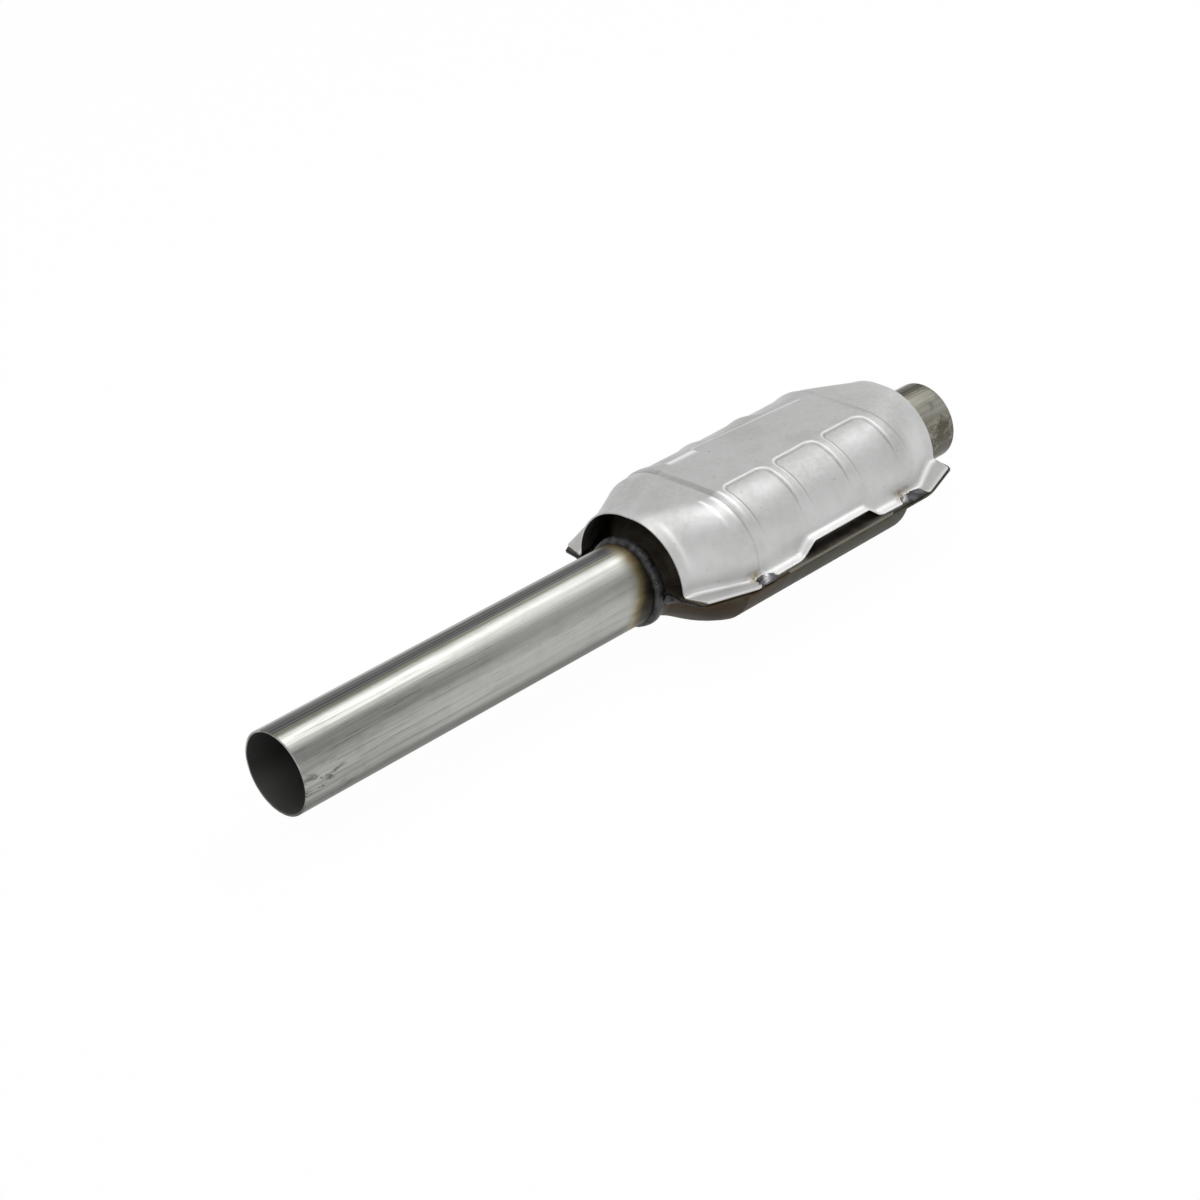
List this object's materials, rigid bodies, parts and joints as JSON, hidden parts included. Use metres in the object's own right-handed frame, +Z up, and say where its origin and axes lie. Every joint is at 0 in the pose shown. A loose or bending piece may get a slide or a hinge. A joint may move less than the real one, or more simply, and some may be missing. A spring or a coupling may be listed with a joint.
{
  "type": "catalytic converter",
  "caption": "Oval clamshell catalytic converter with a long inlet pipe, a short outlet pipe and a ribbed heat shield welded over its top half.",
  "frame": {"origin": "centre of the inlet pipe's open end, on the pipe's axis", "axes": "+X along the pipes towards the outlet, +Z up through the heat shield's top panel"},
  "size_m": [0.605, 0.156, 0.0965],
  "materials": {
    "pipe_steel": "brushed, streaked along its length, heat tint by the weld",
    "outlet_steel": "brushed, stained",
    "shell_steel": "dark oxidised pressed steel",
    "weld_metal": "dark rippled weld bead",
    "shield_sheet": "matte silver pressed sheet",
    "brick_ceramic": "matte fired ceramic with washcoat",
    "mat_fibre": "pale pressed fibre mat",
    "seal_mesh": "knitted wire mesh"
  },
  "bodies": {
    "root": {"inlet_pipe": "pipe_steel", "outlet_pipe": "outlet_steel", "upper_half_shell": "shell_steel", "lower_half_shell": "shell_steel", "inlet_pipe_weld": "weld_metal", "outlet_pipe_weld": "weld_metal", "inlet_seam_weld_left": "weld_metal", "inlet_seam_weld_right": "weld_metal", "outlet_seam_weld_left": "weld_metal", "outlet_seam_weld_right": "weld_metal", "heat_shield": "shield_sheet", "inlet_shield_weld_left": "weld_metal", "inlet_shield_weld_right": "weld_metal", "outlet_shield_weld_left": "weld_metal", "outlet_shield_weld_right": "weld_metal", "front_brick": "brick_ceramic", "rear_brick": "brick_ceramic", "front_mat": "mat_fibre", "rear_mat": "mat_fibre", "front_inlet_seal": "seal_mesh", "front_outlet_seal": "seal_mesh", "rear_inlet_seal": "seal_mesh", "rear_outlet_seal": "seal_mesh"}
  },
  "joints": []
}
